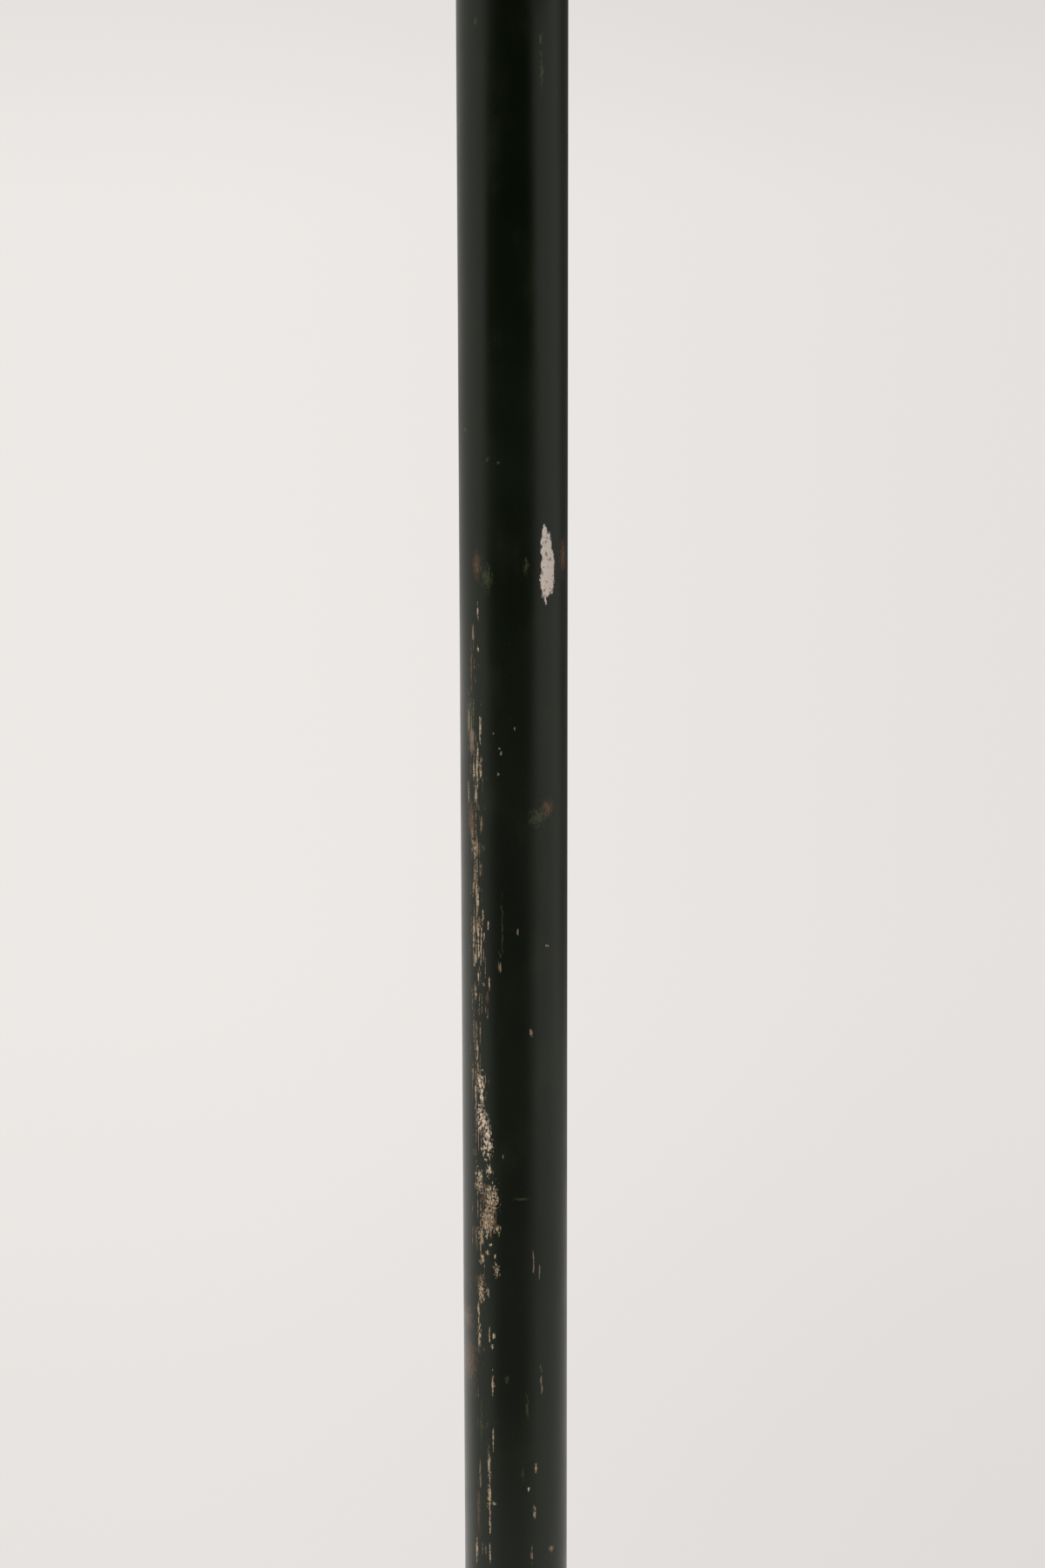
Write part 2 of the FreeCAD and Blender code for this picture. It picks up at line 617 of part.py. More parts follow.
def switch_knob():
    """A fluted knob on its stem, standing out of the cup's upper side."""
    inner = CUP_SHELL_R - CUP_SHELL_WALL - SWITCH_INSIDE
    low = CUP_SHELL_R + SWITCH_STANDOFF
    high = low + SWITCH_KNOB
    blank = turned(
        (inner, 0), (inner, SWITCH_STEM_R), (low, SWITCH_STEM_R), (low, SWITCH_KNOB_R),
        (high - EDGE_ROUND, SWITCH_KNOB_R), (high, SWITCH_KNOB_R - EDGE_ROUND), (high, 0),
    )
    knob = fluted(blank, SWITCH_KNOB_R + FLUTE_R / 2, low, high)
    turn = FreeCAD.Rotation(FreeCAD.Vector(0, 1, 0), -90)
    return placed(knob, FreeCAD.Placement(FreeCAD.Vector(0, 0, SWITCH_AT), turn))


def bulb_cap():
    outer = HOLDER_BORE_R - CONTACT_SHELL - BULB_CAP_GAP
    return turned(
        (BULB_CAP_BACK, 0), (BULB_CAP_BACK, BULB_TIP_R), (BULB_CAP_BACK + BULB_TIP_R, outer),
        (BULB_GLASS_BACK, outer), (BULB_GLASS_BACK, 0),
    )


def bulb_glass():
    """A pear-shaped shell: a ball on a neck, both drawn by radius so that they meet smoothly."""
    def skin(inset):
        ball = BULB_R - inset
        centre = BULB_GLASS_BACK + BULB_LENGTH - BULB_R
        neck = BULB_NECK_R - inset
        waist = BULB_GLASS_BACK + BULB_NECK
        slope = math.atan2(ball - neck, centre - waist)
        touch = (centre - ball * math.sin(slope), ball * math.cos(slope))
        turn = math.radians(BULB_SIDE)
        side = (centre + ball * math.sin(turn), ball * math.cos(turn))
        return neck, waist, touch, side, (centre + ball, 0)

    neck, waist, touch, side, tip = skin(0)
    neck_in, waist_in, touch_in, side_in, tip_in = skin(BULB_GLASS)
    edges = [
        line((BULB_GLASS_BACK, neck_in), (BULB_GLASS_BACK, neck)),
        line((BULB_GLASS_BACK, neck), (waist, neck)),
        line((waist, neck), touch), arc(touch, side, tip),
        line(tip, tip_in), arc(tip_in, side_in, touch_in),
        line(touch_in, (waist_in, neck_in)),
        line((waist_in, neck_in), (BULB_GLASS_BACK, neck_in)),
    ]
    return Part.Face(Part.Wire(edges)).revolve(FreeCAD.Vector(), FreeCAD.Vector(0, 0, 1), 360)


def line(start, end):
    points = [FreeCAD.Vector(r, 0, z) for z, r in (start, end)]
    return Part.LineSegment(*points).toShape()


def arc(start, middle, end):
    points = [FreeCAD.Vector(r, 0, z) for z, r in (start, middle, end)]
    return Part.Arc(*points).toShape()


def shade():
    """A spun cone with a flat back and a turned-out hem."""
    wall = SHADE_WALL
    hem = SHADE_MOUTH - SHADE_HEM
    return turned(
        (SHADE_BACK, HOLDER_RING_R), (SHADE_BACK, SHADE_TOP_R, SHADE_SHOULDER), (hem, SHADE_RIM_R),
        (hem, SHADE_RIM_R + SHADE_HEM_OUT), (SHADE_MOUTH, SHADE_RIM_R + SHADE_HEM_OUT),
        (SHADE_MOUTH, SHADE_RIM_R - wall), (hem, SHADE_RIM_R - wall),
        (SHADE_BACK + wall, SHADE_TOP_R - wall, SHADE_SHOULDER - wall), (SHADE_BACK + wall, HOLDER_RING_R),
    )


def shade_ring():
    low = SHADE_BACK + SHADE_WALL
    return tube(SHADE_RING_R, HOLDER_RING_R, low, low + SHADE_RING)


# ---- everything in its place ----
def pole_pieces():
    return {
        "floor_pad": end_pad(FOOT_R),
        "floor_foot": end_fitting(FOOT_R, LOWER_R, FOOT_FLOOR, FOOT_SOCKET_DEPTH, FOOT_NECK_WALL),
        "lower_tube": lower_tube(),
        "cord_grommet": cord_grommet(),
        "lock_collar": lock_collar(),
        "lock_screw": lock_screw(),
        "middle_tube": middle_tube(),
        "joint_nipple": joint_nipple(),
        "joint_ring": joint_ring(),
        "top_tube": top_tube(),
        "arm_saddles": arm_saddles(),
        "arm_locknuts": arm_locknuts(),
        "spring_seat": spring_seat(),
        "spring_seat_pin": spring_seat_pin(),
        "tension_spring": tension_spring(),
        "plunger_piston": plunger_piston(),
        "plunger_tube": plunger_tube(),
        "guide_bush": guide_bush(),
        "ceiling_cup": upside_down(
            end_fitting(CUP_R, PLUNGER_R, CUP_FLOOR, CUP_SOCKET_DEPTH, CUP_NECK_WALL)
        ),
        "ceiling_pad": upside_down(end_pad(CUP_R)),
    }


def head_pieces():
    """Each head's pieces: those that ride on the arm, and those that tilt with the lamp."""
    on_arm = {"arm": arm(), "knuckle_fork": knuckle_fork(), "pivot_screw": pivot_screw(),
              "pivot_nut": pivot_nut()}
    on_head = {"knuckle_tongue": knuckle_tongue(), "socket_cup": socket_cup(), "socket": socket(),
               "socket_contacts": socket_contacts(), "switch_knob": switch_knob(), "bulb_cap": bulb_cap(),
               "bulb_glass": bulb_glass(), "shade": shade(), "shade_ring": shade_ring()}
    pieces = {}
    for name, height, azimuth, below_level in HEADS:
        for piece, shape in on_arm.items():
            pieces[f"{name}_{piece}"] = placed(shape, outward(height, azimuth))
        for piece, shape in on_head.items():
            pieces[f"{name}_{piece}"] = placed(shape, head_place(height, azimuth, below_level))
    return pieces


def main():
    os.makedirs("parts", exist_ok=True)
    for name, shape in {**pole_pieces(), **head_pieces()}.items():
        shape.exportStep(f"parts/{name}.step")


if __name__ == "__main__":
    main()
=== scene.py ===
import json
import math

import bmesh
import bpy
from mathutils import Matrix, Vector


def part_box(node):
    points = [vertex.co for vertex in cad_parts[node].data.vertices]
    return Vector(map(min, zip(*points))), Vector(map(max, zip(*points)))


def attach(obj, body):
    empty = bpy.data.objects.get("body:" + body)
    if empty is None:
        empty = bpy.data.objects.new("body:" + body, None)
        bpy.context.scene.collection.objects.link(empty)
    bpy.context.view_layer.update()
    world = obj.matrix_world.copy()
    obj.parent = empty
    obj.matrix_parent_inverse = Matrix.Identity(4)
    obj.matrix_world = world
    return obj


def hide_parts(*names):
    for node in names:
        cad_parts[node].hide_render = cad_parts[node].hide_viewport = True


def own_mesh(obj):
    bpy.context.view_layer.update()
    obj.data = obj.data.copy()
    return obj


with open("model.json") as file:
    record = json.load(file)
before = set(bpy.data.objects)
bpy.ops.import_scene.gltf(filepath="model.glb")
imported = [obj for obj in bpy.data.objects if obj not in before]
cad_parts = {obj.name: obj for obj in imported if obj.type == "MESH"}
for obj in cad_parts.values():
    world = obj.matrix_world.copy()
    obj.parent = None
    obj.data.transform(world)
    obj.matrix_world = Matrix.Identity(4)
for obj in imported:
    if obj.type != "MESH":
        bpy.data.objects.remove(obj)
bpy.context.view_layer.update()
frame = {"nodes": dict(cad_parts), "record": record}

# ---- the photograph's camera, in metres, degrees and pixels of its 1200 x 1800 frame ----
PHOTO_WIDTH, PHOTO_HEIGHT = 1200, 1800
LENS_MM, LONG_SIDE_MM = 70.0, 36.0
PIXELS_PER_SLOPE = PHOTO_HEIGHT * LENS_MM / LONG_SIDE_MM
PITCH_DOWN = math.radians(11.4)
ROLL = math.radians(0.11)
POLE_WIDTH_PIXELS = 122.9  # across the pole at mid height
POLE_LEFT_OF_CENTRE = 9.7  # pixels at mid height
VIEW_CENTRE_HEIGHT = 1.04

pole_low, pole_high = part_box("middle_tube")
POLE_R = (pole_high.x - pole_low.x) / 2
METRES_PER_PIXEL = 2 * POLE_R / POLE_WIDTH_PIXELS
CAMERA_AWAY = PIXELS_PER_SLOPE * METRES_PER_PIXEL * math.cos(PITCH_DOWN)
CAMERA_HEIGHT = VIEW_CENTRE_HEIGHT + CAMERA_AWAY * math.tan(PITCH_DOWN)

# ---- the pieces made here, in metres ----
TUBE_WALL = 0.00125
TUBE_BURR = 0.0004  # what is taken off the edges of its ends
TUBE_SIDES = 160
FLOOR_RADIUS = 2.1
FLOOR_SIDES = 96
FLOOR_SOLID, FLOOR_GONE = 0.35, 0.75  # of its radius: where its rim starts to fade, and has faded out

# ---- the depths of what is only bumped, in metres ----
CHIP_DEPTH = 0.0001
PEEL_DEPTH = 0.00008
PORE_DEPTH = 0.00008


# ---- node trees ----
class Graph:
    """A node tree that is built by small calls. Each returns an output socket."""

    def __init__(self, tree):
        self.tree = tree

    def node(self, kind, inputs=None, **settings):
        made = self.tree.nodes.new("ShaderNode" + kind)
        for name, value in settings.items():
            setattr(made, name, value)
        for name, value in (inputs or {}).items():
            self.feed(made.inputs[name], value)
        return made

    def feed(self, socket, value):
        if isinstance(value, bpy.types.NodeSocket):
            self.tree.links.new(value, socket)
        else:
            socket.default_value = value

    def math(self, operation, *values):
        return self.node("Math", dict(enumerate(values)), operation=operation).outputs[0]

    def vector(self, operation, *values):
        made = self.node("VectorMath", dict(enumerate(values)), operation=operation)
        return made.outputs["Value" if operation == "LENGTH" else "Vector"]

    def stretched(self, vector, scale):
        return self.vector("MULTIPLY", vector, scale)

    def swing(self, value, middle, amount):
        """How far value is from the middle, times amount."""
        return self.math("MULTIPLY", self.math("SUBTRACT", value, middle), amount)

    def ramp(self, value, low, high, start=0.0, end=1.0):
        """Goes smoothly from start to end as value goes from low to high."""
        inputs = {"Value": value, "From Min": low, "From Max": high, "To Min": start, "To Max": end}
        return self.node("MapRange", inputs, interpolation_type="SMOOTHSTEP").outputs["Result"]

    def mix(self, factor, first, second):
        made = self.node("Mix", data_type="RGBA")
        for index, value in ((0, factor), (6, first), (7, second)):
            self.feed(made.inputs[index], value)
        return made.outputs[2]

    def paint(self, colour, mask, over, strength=1.0):
        """The colour with another one over it where the mask is."""
        if strength < 1.0:
            mask = self.math("MULTIPLY", mask, strength)
        return self.mix(mask, colour, over)

    def noise(self, vector, scale, detail=3.0, roughness=0.55, colour=False):
        """Its scale is in lumps to a metre."""
        inputs = {"Vector": vector, "Scale": scale, "Detail": detail, "Roughness": roughness}
        return self.node("TexNoise", inputs).outputs["Color" if colour else "Fac"]

    def bump(self, height, distance):
        return self.node("Bump", {"Height": height, "Distance": distance, "Strength": 1.0}).outputs["Normal"]


def rgb(red, green, blue):
    """A colour written as it shows on a screen, 0 to 255, as the shader wants it."""
    def linear(level):
        share = level / 255
        return share / 12.92 if share <= 0.04045 else ((share + 0.055) / 1.055) ** 2.4
    return linear(red), linear(green), linear(blue), 1.0


def new_material(name):
    material = bpy.data.materials.new(name)
    material.use_nodes = True
    graph = Graph(material.node_tree)
    shader = material.node_tree.nodes["Principled BSDF"]
    place = graph.node("TexCoord").outputs["Object"]
    return material, graph, shader, place


def set_shader(graph, shader, **values):
    for name, value in values.items():
        graph.feed(shader.inputs[name.replace("_", " ")], value)


# ---- enamel ----
ENAMEL = rgb(7, 13, 4)
ENAMEL_FADED = rgb(13, 20, 9)
ENAMEL_SHEEN = (0.93, 1.0, 0.89, 1.0)  # the tint of what it mirrors
PRIMER = rgb(206, 192, 181)
TAN = rgb(158, 134, 110)
RUST = rgb(94, 67, 45)
BARE = rgb(110, 92, 68)
BARE_PRIMER = rgb(174, 153, 126)
WORN_PRIMER = rgb(218, 199, 178)
SCRATCHED = rgb(190, 169, 144)
OLIVE = rgb(68, 72, 46)
BROWN = rgb(66, 54, 42)


def enamel_base(graph, place):
    """Stoved enamel: its colour drifts a little, its gloss has smudges, its skin a faint orange peel."""
    drift = graph.ramp(graph.noise(place, 14.0), 0.35, 0.75)
    colour = graph.mix(drift, ENAMEL, ENAMEL_FADED)
    gloss = graph.ramp(graph.noise(place, 35.0, detail=5.0), 0.35, 0.8, start=0.24, end=0.36)
    peel = graph.noise(place, 420.0, detail=2.0)
    return colour, gloss, peel


def plain_enamel():
    """The enamel of the pieces that the photograph doesn't show, with a few small chips and rubs."""
    material, graph, shader, place = new_material("enamel")
    colour, gloss, peel = enamel_base(graph, place)
    upright = graph.stretched(place, (1.0, 1.0, 0.12))
    rub = graph.ramp(graph.noise(upright, 160.0, detail=4.0), 0.70, 0.76)
    chip = graph.ramp(graph.noise(place, 120.0, detail=5.0, roughness=0.7), 0.735, 0.75)
    colour = graph.paint(colour, rub, OLIVE, 0.5)
    colour = graph.paint(colour, chip, TAN)
    worn = graph.math("MAXIMUM", graph.math("MULTIPLY", rub, 0.4), chip)
    gloss = graph.math("MULTIPLY_ADD", worn, 0.35, gloss)
    height = graph.math("MULTIPLY_ADD", chip, -1.0, graph.math("MULTIPLY", peel, 0.15))
    set_shader(graph, shader, Base_Color=colour, Roughness=gloss, Normal=graph.bump(height, CHIP_DEPTH))
    return material


# ---- the wear of the photographed tube ----
# Each mark was read off the photograph: the x of its middle, its top and bottom y, and its width, in
# pixels of the photograph's frame.
PRIMER_CHIPS = (
    (625, 604, 640, 6), (627, 612, 652, 12), (629, 628, 672, 14), (632, 634, 684, 8),
    (624, 640, 688, 7), (628, 660, 688, 7), (626, 684, 696, 2),
)
SCRAPED_PATCHES = (
    (553, 1235, 1262, 8), (554, 1255, 1273, 6), (554, 1272, 1306, 11), (560, 1285, 1318, 8),
    (560, 1306, 1333, 11), (551, 1347, 1371, 8), (562, 1341, 1352, 8), (564, 1362, 1397, 17),
    (560, 1390, 1420, 15), (572, 1409, 1419, 6), (553, 1413, 1433, 6), (554, 1443, 1458, 5),
    (570, 1451, 1467, 6), (553, 1470, 1502, 8), (551, 1525, 1551, 4), (566, 1578, 1605, 3),
    (562, 1707, 1734, 4),
)
PRIMER_SCRATCHES = (
    (549, 696, 719, 2), (550, 744, 752, 2), (552, 822, 856, 2), (549, 866, 908, 3), (545, 870, 905, 2),
    (553, 868, 900, 2), (539, 905, 929, 2), (547, 906, 925, 2), (546, 963, 998, 2),
    (549, 1014, 1054, 3), (545, 1053, 1096, 2), (550, 1060, 1124, 2), (553, 1066, 1112, 2),
    (555, 1047, 1057, 2), (561, 1060, 1069, 2), (556, 1072, 1083, 2), (546, 1098, 1114, 3),
    (562, 1126, 1139, 2), (556, 1131, 1136, 3), (549, 1197, 1233, 2), (547, 1241, 1288, 2),
    (610, 1183, 1191, 3), (628, 1087, 1091, 3), (560, 1414, 1424, 2), (564, 1430, 1433, 3),
    (560, 1437, 1444, 3), (569, 1441, 1447, 3), (561, 1481, 1493, 3), (550, 1503, 1526, 2),
    (562, 1529, 1545, 3), (607, 1708, 1714, 2), (562, 1668, 1700, 2), (563, 1696, 1734, 2),
    (567, 1533, 1539, 3), (566, 1546, 1550, 3), (566, 1646, 1668, 2), (563, 1732, 1769, 2),
    (568, 1726, 1730, 3), (563, 1769, 1802, 2), (548, 1773, 1802, 2), (615, 1685, 1696, 3),
    (613, 1730, 1748, 2), (547, 1145, 1149, 2), (560, 1168, 1172, 2),
)
TAN_MARKS = (
    (544, 718, 742, 3), (546, 773, 790, 2), (539, 810, 853, 3), (543, 836, 868, 6), (548, 908, 926, 3),
    (554, 940, 952, 2), (548, 963, 998, 3), (547, 1002, 1014, 2), (574, 1099, 1119, 5),
    (595, 1065, 1074, 2), (612, 1440, 1465, 2), (619, 1456, 1471, 2), (578, 1326, 1330, 2),
    (552, 1682, 1716, 2), (610, 1779, 1798, 2), (631, 1781, 1788, 5), (573, 888, 891, 2),
    (591, 835, 838, 2), (567, 841, 844, 2), (574, 858, 861, 2), (576, 863, 867, 2),
    (621, 1576, 1600, 2), (562, 1392, 1418, 13),
)
RUST_MARKS = (
    (548, 639, 664, 8), (646, 624, 662, 6), (628, 922, 939, 11), (538, 1512, 1538, 9),
    (540, 1549, 1599, 12), (550, 1715, 1765, 3), (560, 1142, 1153, 3), (551, 1470, 1482, 7),
    (627, 621, 626, 4), (627, 636, 641, 4), (622, 655, 661, 3), (625, 677, 681, 3),
    (555, 1300, 1308, 4), (542, 738, 800, 2), (542, 926, 962, 7), (556, 1375, 1384, 5),
    (568, 1404, 1410, 5),
)
OLIVE_MARKS = (
    (560, 650, 677, 11), (604, 642, 659, 6), (617, 930, 949, 17), (577, 1034, 1097, 2),
    (553, 1612, 1665, 2), (605, 1603, 1630, 3), (560, 1636, 1639, 3), (561, 1660, 1697, 3),
    (600, 1684, 1700, 2), (550, 1551, 1563, 6), (535, 494, 499, 4), (621, 38, 50, 4), (622, 62, 100, 3),
    (547, 18, 28, 3), (582, 1579, 1589, 4), (560, 527, 531, 4), (573, 529, 533, 4), (541, 806, 856, 9),
    (599, 1375, 1378, 16),
)

# Where each kind of mark is spent and where it is whole, from its middle, in its own radii.
CRISP_EDGE, SCRATCH_EDGE, SCRAPED_EDGE = (1.06, 0.86), (1.1, 0.95), (1.15, 1.0)
RUST_EDGE, OLIVE_EDGE = (1.7, 0.3), (1.6, 0.2)
FAR_FROM_MARKS = 9.0  # in the same radii
POLE_RIM = 0.97  # the share of the pole's half width past which no mark is put
MARK_FRAY = 12  # pixels that a mark's frayed edge may reach past it

# How the edges of marks are frayed: lumps to a metre, shift in metres, and the lumps' stretch.
ROUGH_FRAY = (800.0, 0.0014, (1.0, 0.7, 1.0))
FINE_FRAY = (500.0, 0.0008, (1.0, 0.3, 1.0))

# The tube's material is made in bands, from one y to the next, each with the marks that reach it, because
# one shader can't hold them all.
BAND_EDGES = (-9999, 800, 950, 1085, 1200, 1330, 1440, 1600, 9999)

# The scoring runs down one side of the tube. It begins, is dense, starts to fade and is spent at these y.
SCORING_AT = (548, 1100)  # a pixel on its middle line
SCORING_BEGINS, SCORING_DENSE, SCORING_FADES, SCORING_SPENT = 690, 1000, 1380, 1540
SCORING_HALF_WIDTH, SCORING_CORE = 0.0044, 0.0008  # metres to each side, where it ends and is at its densest
SCRAPED_PALE, SCRAPED_DULL = 1300, 1400  # the scraped patches get duller from one y to the other


def below_axis(y):
    """How far below the camera's axis a row of the photograph is seen, in radians."""
    return math.atan((y - PHOTO_HEIGHT / 2) / PIXELS_PER_SLOPE)


def photo_height(y):
    """The height on the pole's front of a row of the photograph."""
    return CAMERA_HEIGHT - (CAMERA_AWAY - POLE_R) * math.tan(PITCH_DOWN + below_axis(y))


def photo_spot(x, y):
    """(distance round the pole from its front, to the right, and height) of a pixel of the photograph."""
    down = PITCH_DOWN + below_axis(y)
    half_width = POLE_WIDTH_PIXELS / 2 * math.cos(down) / math.cos(PITCH_DOWN) / math.cos(below_axis(y))
    pole_x = PHOTO_WIDTH / 2 - POLE_LEFT_OF_CENTRE + math.tan(ROLL) * (y - PHOTO_HEIGHT / 2)
    share = max(-POLE_RIM, min(POLE_RIM, (x - pole_x) / half_width))
    return POLE_R * math.asin(share), photo_height(y)


def union_of_marks(graph, surface, marks, ragged, band, edge):
    """1 inside the ellipses of the marks that reach the band, 0 outside, its edge frayed by ragged."""
    nearest = FAR_FROM_MARKS
    for x, top, bottom, width in marks:
        if bottom + MARK_FRAY < band[0] or top - MARK_FRAY > band[1]:
            continue
        left, upper = photo_spot(x - width / 2, top)
        right, lower = photo_spot(x + width / 2, bottom)
        middle = ((left + right) / 2, (upper + lower) / 2, 0.0)
        size = ((right - left) / 2, (upper - lower) / 2, 1.0)
        inputs = {"Vector": surface, "Location": middle, "Scale": size}
        away = graph.vector("LENGTH", graph.node("Mapping", inputs, vector_type="TEXTURE").outputs[0])
        nearest = graph.math("MINIMUM", nearest, away)
    return graph.ramp(graph.math("ADD", nearest, ragged), *edge)


def around_pole(graph, place):
    """The pole's surface rolled out: across it in metres from the front, and the height."""
    parts = graph.node("SeparateXYZ", {0: place})
    front = graph.math("MULTIPLY", parts.outputs["Y"], -1.0)
    turn = graph.math("ARCTAN2", parts.outputs["X"], front)
    across = graph.math("MULTIPLY", turn, POLE_R)
    return across, parts.outputs["Z"]


def frayed(graph, flat, scale, amount, stretch):
    """The rolled-out surface shifted about by noise, so that what is drawn on it gets uneven edges."""
    wobble = graph.noise(graph.stretched(flat, stretch), scale, detail=4.0, colour=True)
    centred = graph.vector("SUBTRACT", wobble, (0.5, 0.5, 0.5))
    return graph.vector("ADD", flat, graph.stretched(centred, (amount, amount, 0.0)))


def score_lines(graph, flat, across, height):
    """Fine upright lines where the collar's screw has scored the tube, closer together further down."""
    begins, dense, fades, spent = (
        photo_height(y) for y in (SCORING_BEGINS, SCORING_DENSE, SCORING_FADES, SCORING_SPENT)
    )
    where, _ = photo_spot(*SCORING_AT)
    aside = graph.math("ABSOLUTE", graph.math("SUBTRACT", across, where))
    core = graph.ramp(aside, SCORING_HALF_WIDTH, SCORING_CORE)
    grows = graph.ramp(height, begins, dense)
    dies_away = graph.ramp(height, spent, fades, start=0.15, end=1.0)
    reach = graph.math("MULTIPLY", core, graph.math("MULTIPLY", grows, dies_away))
    lines = graph.noise(graph.stretched(flat, (1.0, 0.03, 0.0)), 3000.0, detail=1.0)
    broken = graph.noise(graph.stretched(flat, (0.6, 1.0, 0.0)), 170.0)
    level = graph.math("ADD", lines, graph.swing(broken, 0.5, 0.5))
    over = graph.math("SUBTRACT", level, graph.math("MULTIPLY_ADD", reach, -0.17, 0.75))
    return graph.math("MULTIPLY", graph.ramp(over, 0.0, 0.03), graph.ramp(reach, 0.0, 0.1))


def worn_enamel(name, band):
    """The photographed tube: enamel scored and chipped down to primer, bare steel and rust. The band is the
    top and bottom y of the stretch that it is for."""
    material, graph, shader, place = new_material(name)
    colour, gloss, peel = enamel_base(graph, place)
    across, height = around_pole(graph, place)
    flat = graph.node("CombineXYZ", {0: across, 1: height}).outputs[0]

    rough = frayed(graph, flat, *ROUGH_FRAY)
    fine = frayed(graph, flat, *FINE_FRAY)
    grain = graph.noise(graph.stretched(flat, (1.0, 0.3, 1.0)), 2200.0, roughness=0.7)
    streaks = graph.noise(graph.stretched(flat, (1.0, 0.08, 1.0)), 3100.0, detail=1.5, roughness=0.6)
    nibbled = graph.swing(grain, 0.5, 1.2)
    ragged = graph.swing(grain, 0.44, 4.5)
    broken = graph.swing(streaks, 0.45, 4.5)

    olive = union_of_marks(graph, rough, OLIVE_MARKS, ragged, band, OLIVE_EDGE)
    rust = union_of_marks(graph, rough, RUST_MARKS, ragged, band, RUST_EDGE)
    tan = union_of_marks(graph, fine, TAN_MARKS, broken, band, CRISP_EDGE)
    lines = score_lines(graph, flat, across, height)
    scratch = union_of_marks(graph, fine, PRIMER_SCRATCHES, broken, band, SCRATCH_EDGE)
    scraped = union_of_marks(graph, rough, SCRAPED_PATCHES, ragged, band, SCRAPED_EDGE)
    holes = graph.noise(graph.stretched(flat, (1.0, 0.45, 1.0)), 1500.0, roughness=0.6)
    scraped = graph.math("MULTIPLY", scraped, graph.ramp(holes, 0.44, 0.47))
    chip = union_of_marks(graph, rough, PRIMER_CHIPS, nibbled, band, CRISP_EDGE)

    specks = graph.ramp(graph.noise(flat, 640.0, detail=4.0, roughness=0.75), 0.70, 0.74)
    film = graph.ramp(graph.noise(graph.stretched(flat, (1.0, 0.5, 1.0)), 90.0, detail=5.0), 0.5, 0.8)
    mottle = graph.ramp(graph.noise(flat, 1200.0, roughness=0.7), 0.50, 0.55)
    pits = graph.ramp(graph.noise(flat, 900.0), 0.62, 0.66)

    primer = graph.mix(graph.math("MULTIPLY", mottle, 0.2), PRIMER, TAN)
    primer = graph.paint(primer, pits, BROWN, 0.8)
    pale = graph.ramp(height, photo_height(SCRAPED_DULL), photo_height(SCRAPED_PALE))
    worn_primer = graph.mix(mottle, graph.mix(pale, BARE_PRIMER, WORN_PRIMER), BARE)
    scored = graph.mix(mottle, TAN, BROWN)
    scratched = graph.mix(mottle, SCRATCHED, BARE)
    layers = (
        (film, OLIVE, 0.08), (olive, OLIVE, 0.6), (lines, scored, 0.85), (specks, TAN, 0.35),
        (tan, TAN, 0.55), (scratch, scratched, 0.9), (scraped, worn_primer, 1.0), (chip, primer, 1.0),
        (rust, RUST, 0.8),
    )
    for mask, over, strength in layers:
        colour = graph.paint(colour, mask, over, strength)

    bare = graph.math("MAXIMUM", graph.math("MAXIMUM", chip, scraped), graph.math("MAXIMUM", scratch, lines))
    gloss = graph.math("MULTIPLY_ADD", bare, 0.4, gloss)
    normal = graph.bump(graph.math("MULTIPLY", peel, 0.12), PEEL_DEPTH)
    set_shader(graph, shader, Base_Color=colour, Roughness=gloss, Normal=normal, Specular_Tint=ENAMEL_SHEEN)
    return material


# ---- the other finishes ----
# Each metal's slot: its name, its colours when clean and when dull, its roughness, the depth of its turned or
# drawn lines in metres, and how far its tarnish shows.
METALS = {
    "brass": ("aged_brass", rgb(190, 158, 98), rgb(98, 74, 44), 0.26, 0.00002, 0.85),
    "steel": ("zinc_steel", rgb(168, 170, 172), rgb(116, 112, 104), 0.34, 0.00002, 0.7),
    "chrome": ("chrome", rgb(214, 216, 218), rgb(176, 176, 174), 0.08, 0.000004, 0.5),
    "cap_metal": ("cap_metal", rgb(196, 196, 192), rgb(150, 146, 138), 0.3, 0.00002, 0.6),
}
FACES_INWARD = -0.2  # how much of a face's normal points out from the shade's axis, at most


def metal(name, clean, dull, roughness, brushing, stain):
    """A metal whose tarnish gathers in clouds, with fine turned or drawn lines."""
    material, graph, shader, place = new_material(name)
    cloud = graph.ramp(graph.noise(place, 70.0, detail=6.0, roughness=0.65), 0.42, 0.72)
    colour = graph.paint(clean, cloud, dull, stain)
    lines = graph.noise(graph.stretched(place, (1.0, 1.0, 9.0)), 500.0, detail=2.0)
    gloss = graph.math("MULTIPLY_ADD", cloud, 0.2, roughness)
    normal = graph.bump(lines, brushing)
    set_shader(graph, shader, Base_Color=colour, Roughness=gloss, Normal=normal, Metallic=1.0)
    return material


def white_enamel():
    """The reflecting inside of the shades, yellowed a little and dusty."""
    material, graph, shader, place = new_material("white_enamel")
    dust = graph.ramp(graph.noise(place, 30.0, detail=5.0), 0.4, 0.8)
    colour = graph.paint(rgb(226, 221, 208), dust, rgb(196, 188, 168), 0.4)
    gloss = graph.ramp(graph.noise(place, 60.0), 0.3, 0.8, start=0.38, end=0.55)
    set_shader(graph, shader, Base_Color=colour, Roughness=gloss)
    return material


def rubber():
    """Black rubber with a grey bloom."""
    material, graph, shader, place = new_material("rubber")
    bloom = graph.ramp(graph.noise(place, 90.0, detail=6.0), 0.4, 0.75)
    colour = graph.paint(rgb(34, 33, 32), bloom, rgb(70, 67, 62), 0.6)
    pores = graph.noise(place, 1400.0, detail=2.0)
    gloss = graph.ramp(bloom, 0.0, 1.0, start=0.62, end=0.85)
    set_shader(graph, shader, Base_Color=colour, Roughness=gloss, Normal=graph.bump(pores, PORE_DEPTH))
    return material


